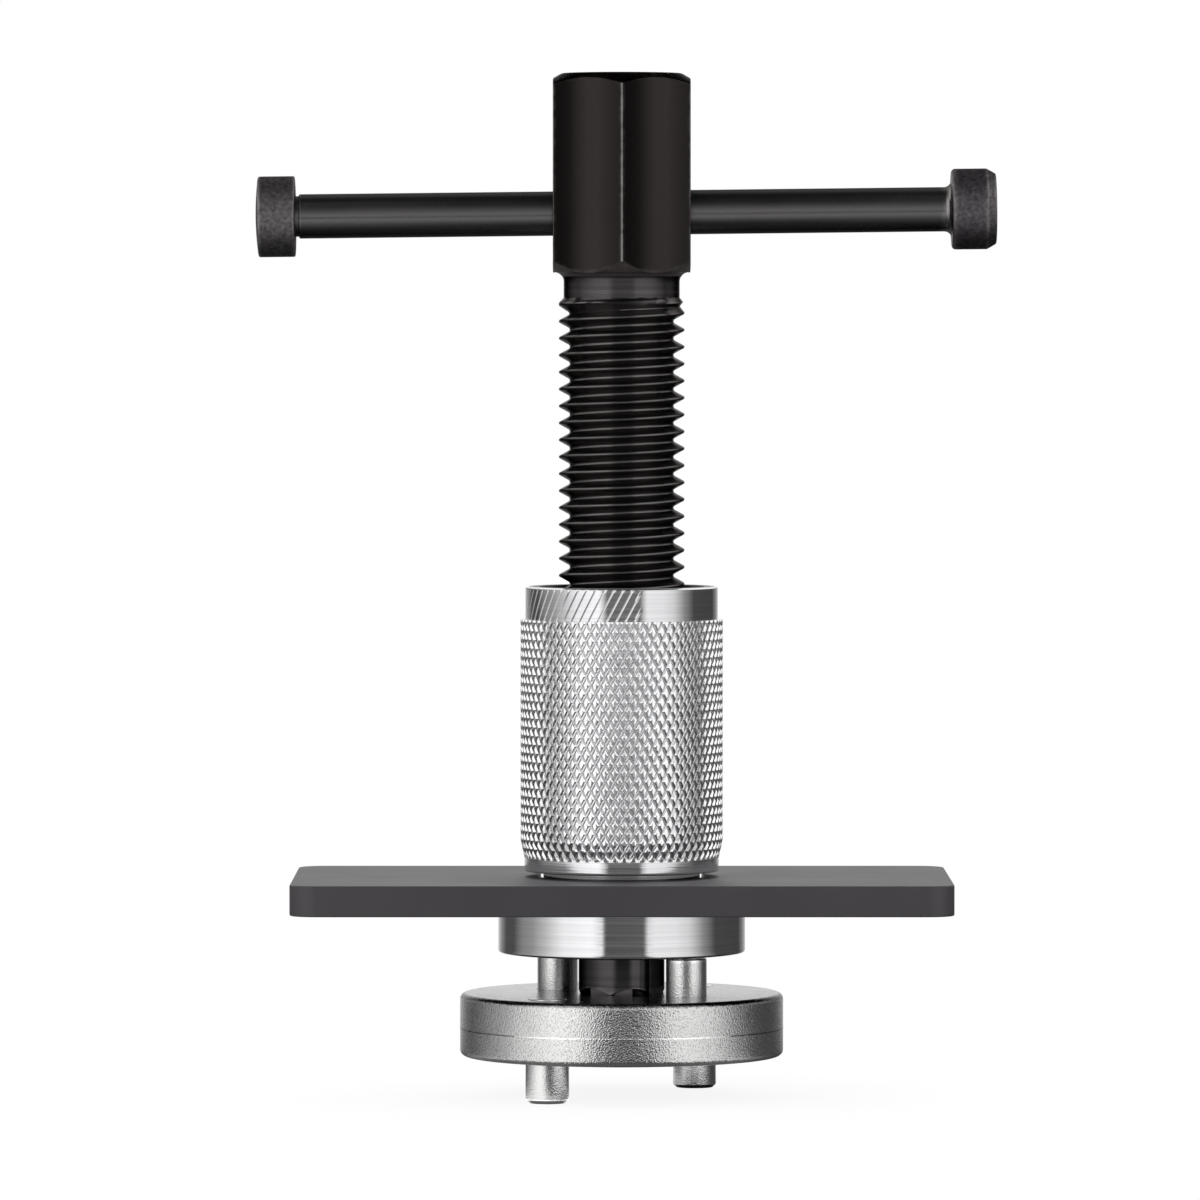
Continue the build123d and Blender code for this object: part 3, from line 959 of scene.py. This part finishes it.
def grained(name, scale, blotch, dark, light, roughness, strength, relief, metallic=1.0):
    """A grainy surface that is dark and light, and smooth and rough, in blotches."""
    material, tree = new_material(name)
    surface = place_group(tree, grain, Scale=scale, Blotch=blotch)
    show(tree, "ShaderNodeBsdfPrincipled", {
        "Base Color": mixed(tree, surface["Blotches"], dark, light),
        "Metallic": metallic,
        "Roughness": math(tree, "MULTIPLY_ADD", surface["Blotches"], 0.1, roughness),
        "Normal": bump(tree, surface["Grain"], strength, relief),
    })
    return material


def faced_steel():
    """The bare top face: dull steel with turned rings, darkened by painted shade to black towards the
    thread.
    """
    material, tree = new_material("faced_steel")
    surface = place_group(tree, grain, Scale=2500.0, Blotch=400.0)
    steel = mixed(tree, surface["Blotches"], (0.36, 0.36, 0.37), (0.50, 0.50, 0.51))
    show(tree, "ShaderNodeBsdfPrincipled", {
        "Base Color": with_painted_shade(tree, steel),
        "Roughness": 0.9,
        "Specular IOR Level": 0.05,
    })
    return material


def face_painted_shade(point):
    """Painted shade over the rings of the sleeve's top face, darkest towards the thread."""
    return np.interp(-point.xy.length / MM, [-radius for radius in FACE_RINGS], FACE_PAINTED_SHADES)


def sleeve_finish(face):
    """Turned chrome, knurled chrome on the grip, or bare steel on the top face."""
    out = face.center.xy.length
    if face.center.z > sleeve_top - 0.5 * MM and out < FACE_RINGS[0] * MM:
        return 2
    return int(low_band_top < face.center.z < knurl_top and out > BORE_RADIUS + 2 * MM)


burnished = grained("chrome_knurled", 2200.0, 500.0, (0.74, 0.74, 0.75), (0.90, 0.90, 0.91), 0.14, 1.0,
                    0.00004)    # where the knurling wheels pressed it
sleeve = finish_piece("threaded_sleeve", threaded_sleeve(), turned_chrome(), "sleeve",
                      ["threaded_sleeve"], 24)
more_finishes(sleeve, [burnished, faced_steel()], sleeve_finish)
# painted shade on the top face, darkest towards the thread
store_painted_shade(sleeve, face_painted_shade)


# Reaction plate: flat steel bar with rounded corners and a U slot, in satin black paint. It hangs
# on the sleeve's flange by its slot, which is open to the back.
PLATE_CORNER = 4.0 * MM
SLOT_RADIUS = 12.25 * MM
PLATE_EDGE = 0.22 * MM

plate_low, plate_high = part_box("reaction_plate")


def along_arc(centre, radius, start, end, columns):
    """Points along an arc, from one angle in degrees to another."""
    return [(centre[0] + radius * cos(radians(turn)), centre[1] + radius * sin(radians(turn)))
            for turn in np.linspace(start, end, columns)]


def plate_outline():
    """The plate's outline, counter-clockwise from its front left corner, round the slot."""
    across = plate_high[0] - PLATE_CORNER
    back = plate_high[1] - PLATE_CORNER
    return [
        *along_arc((-across, -back), PLATE_CORNER, 180, 270, 13),
        *along_arc((across, -back), PLATE_CORNER, 270, 360, 13),
        *along_arc((across, back), PLATE_CORNER, 0, 90, 13),
        (SLOT_RADIUS, plate_high[1]),
        *along_arc((0, 0), SLOT_RADIUS, 0, -180, 49),
        (-SLOT_RADIUS, plate_high[1]),
        *along_arc((-across, back), PLATE_CORNER, 90, 180, 13),
    ]


def reaction_plate():
    """The outline raised to the plate's thickness, with its long edges broken."""
    builder = bmesh.new()
    outline = [builder.verts.new((x, y, plate_low[2])) for x, y in plate_outline()]
    raised = bmesh.ops.extrude_face_region(builder, geom=[builder.faces.new(outline)])
    for item in raised["geom"]:
        if isinstance(item, bmesh.types.BMVert):
            item.co.z = plate_high[2]
    rims = [edge for edge in builder.edges if abs(edge.verts[0].co.z - edge.verts[1].co.z) < 1e-9]
    bmesh.ops.recalc_face_normals(builder, faces=builder.faces)
    bmesh.ops.bevel(builder, geom=rims, offset=PLATE_EDGE, segments=3, profile=0.5, affect="EDGES")
    return builder


satin = grained("black_paint", 1200.0, 90.0, (0.021, 0.018, 0.021), (0.029, 0.026, 0.029), 0.47, 0.2,
                0.00001, metallic=0.0)
finish_piece("reaction_plate", reaction_plate(), satin, "plate", ["reaction_plate"])


# Adapter: a cast steel disc under rough zinc plate. The hexagon recess on top takes the spindle's drive,
# and a faint casting line runs round the middle of its rim, with a painted highlight on its front. Painted
# shade darkens the disc's top, most of its top edge, its recess, its holes and its underside.
ADAPTER_ROUND = 0.9 * MM
RECESS_FLATS = 11.32 * MM
RECESS_CORNER_ROUND = 0.05 * MM
RECESS_FLOOR = 1.5 * MM
RECESS_BREAK = 0.1 * MM
CAST_LINE = 4.2 * MM          # above the adapter's underside
CAST_LINE_STEP = 0.03 * MM
CAST_LINE_WIDTH = 0.15 * MM
CAST_LINE_PAINTED_HIGHLIGHT = 0.75       # share of the radius towards the camera beyond which the line has its painted highlight
PINS = ("lower_pin_1", "lower_pin_2", "upper_pin_1", "upper_pin_2")
LOWER_PIN_SHANK_RADIUS = 2.64 * MM
PIN_HOLE_GAP = 0.01 * MM
PIN_HOLE_BREAK = 0.2 * MM
PEG_SEAT_ROOM = 0.2 * MM
PEG_SEAT_DEPTH = 0.08 * MM
TOP_PAINTED_SHADE = 0.55              # painted shade of the top face
# painted shade round the top edge: darkest on its slope, least dark towards RIM_LEAST_SHADE_TURN
RIM_SLOPES = [8, 30, 62, 90]  # degrees round the top edge, from the side up
RIM_LEAST_SHADE_TURN = -15          # degrees right of the camera, where the top edge is least dark

pin_angles = full_turn(72)
adapter_radius = adapter_high[0]
adapter_top = adapter_high[2]


def adapter_disc():
    """The disc as rings over its rounded rim, with the casting line standing out of its side."""
    angles = full_turn(240)
    # painted highlight on the front of the casting line, kept as wear, which turns the plate white there
    painted_highlight = np.clip(8 * (-np.sin(angles) - CAST_LINE_PAINTED_HIGHLIGHT), 0, 1)
    side = adapter_radius - CAST_LINE_STEP
    rim = unworn(rounded([
        (0.0, adapter_top),
        (side, adapter_top, ADAPTER_ROUND),
        (side, 0.0, ADAPTER_ROUND),
        (0.0, 0.0),
    ], steps=8))
    return ring_body([
        *[ring for ring in rim if ring[1] > CAST_LINE],
        (side, CAST_LINE + CAST_LINE_WIDTH),
        (adapter_radius, CAST_LINE + 0.2 * CAST_LINE_WIDTH, painted_highlight),
        (adapter_radius, CAST_LINE - 0.2 * CAST_LINE_WIDTH, painted_highlight),
        (side, CAST_LINE - CAST_LINE_WIDTH),
        *[ring for ring in rim if ring[1] < CAST_LINE],
    ], angles)


def pin_place(low, high):
    """The move that puts a body of rings on a pin's axis."""
    return Matrix.Translation(((low[0] + high[0]) / 2, (low[1] + high[1]) / 2, 0))


def adapter_holes():
    """The hexagon recess and the four pins' holes, all broken at 45 degrees on top."""
    angles, wall = hexagon(RECESS_FLATS, RECESS_CORNER_ROUND, DRIVE_TURN)[:2]
    tool = ring_body([
        (0.0, RECESS_FLOOR),
        (wall, RECESS_FLOOR),
        (wall, adapter_top - RECESS_BREAK),
        (wall + RECESS_BREAK + OVER, adapter_top + OVER),
        (0.0, adapter_top + OVER),
    ], angles)
    for name in PINS:
        low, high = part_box(name)
        radius = (high[0] - low[0]) / 2
        if name.startswith("lower"):
            hole = LOWER_PIN_SHANK_RADIUS + PIN_HOLE_GAP
            seat = radius + PEG_SEAT_ROOM
            rings = [(0.0, -OVER), (seat, -OVER), (seat, PEG_SEAT_DEPTH), (hole, PEG_SEAT_DEPTH)]
        else:
            hole = radius + PIN_HOLE_GAP
            rings = [(0.0, low[2]), (hole, low[2])]
        rings += [
            (hole, adapter_top - PIN_HOLE_BREAK),
            (hole + PIN_HOLE_BREAK + OVER, adapter_top + OVER),
            (0.0, adapter_top + OVER),
        ]
        add_to(tool, *ring_mesh(rings, pin_angles), pin_place(low, high))
    return tool


def zinc_painted_shade(point):
    """Painted shade on the disc: darker on top, nearly black along most of the top edge, in the recess,
    the pins' joints and underneath, and on the casting line's ends."""
    out = point.xy.length
    if out > adapter_radius - 0.001 * MM:
        return 1.0 if -point.y > CAST_LINE_PAINTED_HIGHLIGHT * adapter_radius else 0.25
    if point.z > adapter_top - 0.001 * MM:
        return TOP_PAINTED_SHADE
    if out < adapter_radius - 1.2 * MM:
        return 0.05
    slope = atan2(point.z - adapter_top + ADAPTER_ROUND, out - adapter_radius + ADAPTER_ROUND)
    turn = atan2(point.x, -point.y) - radians(RIM_LEAST_SHADE_TURN)
    darkest_painted_shade = 0.02 + 0.5 * (0.5 + 0.5 * cos(2 * turn)) ** 2
    return np.interp(np.degrees(slope), RIM_SLOPES, [1.0, darkest_painted_shade, darkest_painted_shade, TOP_PAINTED_SHADE])


def rough_zinc(name, grain_scale, grain_depth, roughness, painted_shading=False):
    """Zinc plate over a grainy surface, with dull and bright specks. It turns white where the mesh's wear
    is
    set: a painted highlight on the disc's casting line, worn rounds on the pins. With `painted_shading`
    the mesh's painted shade darkens it, ragged by the grain.
    """
    material, tree = new_material(name)
    surface = place_group(tree, grain, Scale=grain_scale, Blotch=220.0)
    plate = mixed(tree, surface["Blotches"], (0.56, 0.56, 0.555), (0.70, 0.70, 0.695))
    if painted_shading:
        plate = with_painted_shade(tree, plate, surface["Grain"])
    worn = node(tree, "ShaderNodeAttribute", attribute_name="wear").outputs["Fac"]
    show(tree, "ShaderNodeBsdfPrincipled", {
        "Base Color": mixed(tree, worn, plate, (1.0, 1.0, 1.0)),
        "Metallic": 1.0,
        "Roughness": math(tree, "MULTIPLY_ADD", surface["Blotches"], 0.2, roughness - 0.1),
        "Normal": bump(tree, surface["Grain"], 1.0, grain_depth),
    })
    return material


zinc = rough_zinc("zinc_plate", 4200.0, 0.00007, 0.14, painted_shading=True)
adapter = finish_piece("adapter_disc", adapter_disc(), zinc, "adapter", ["adapter_disc"],
                       tool=adapter_holes())
# painted shade over the disc
store_painted_shade(adapter, zinc_painted_shade)


# Pins: drawn steel pegs pressed into the adapter, chamfered where they stand out. The lower pair turns the
# piston and has thinner shanks, flush on the far side; the upper pair is for the disc turned over.
PIN_CHAMFER = 0.6 * MM
PIN_EDGE = 0.15 * MM
PIN_STANDS_OUT = 0.1 * MM     # of the shanks' ends

pin_zinc = rough_zinc("pin_steel", 4400.0, 0.000042, 0.2)
for name in PINS:
    low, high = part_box(name)
    radius = (high[0] - low[0]) / 2
    if name.startswith("lower"):
        outline = [
            (0.0, low[2]),
            (radius - PIN_CHAMFER, low[2], PIN_EDGE),
            (radius, low[2] + PIN_CHAMFER, PIN_EDGE),
            (radius, PEG_SEAT_DEPTH),
            (LOWER_PIN_SHANK_RADIUS, PEG_SEAT_DEPTH),
            (LOWER_PIN_SHANK_RADIUS, high[2] + PIN_STANDS_OUT, 0.1 * MM),
            (0.0, high[2] + PIN_STANDS_OUT),
        ]
    else:
        outline = [(0.0, low[2]), (radius, low[2]), (radius, high[2], 0.4 * MM), (0.0, high[2])]
    pin = ring_body(rounded(outline), pin_angles, place=pin_place(low, high))
    finish_piece(name, pin, pin_zinc, "adapter", [name])


# Drive magnet: a small nickel-plated disc, set in the pocket in the end of the drive. It holds the adapter
# on the spindle. Its shape is the solid's own.
def nickel_plate():
    """Nickel plate, slightly yellow."""
    material, tree = new_material("magnet_nickel")
    surface = place_group(tree, grain, Scale=1500.0, Blotch=400.0)
    show(tree, "ShaderNodeBsdfPrincipled", {
        "Base Color": mixed(tree, surface["Blotches"], (0.70, 0.66, 0.58), (0.78, 0.74, 0.66)),
        "Metallic": 1.0,
        "Roughness": math(tree, "MULTIPLY_ADD", surface["Grain"], 0.1, 0.16),
    })
    return material


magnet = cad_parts["drive_magnet"]
magnet.data.materials.clear()
magnet.data.materials.append(nickel_plate())
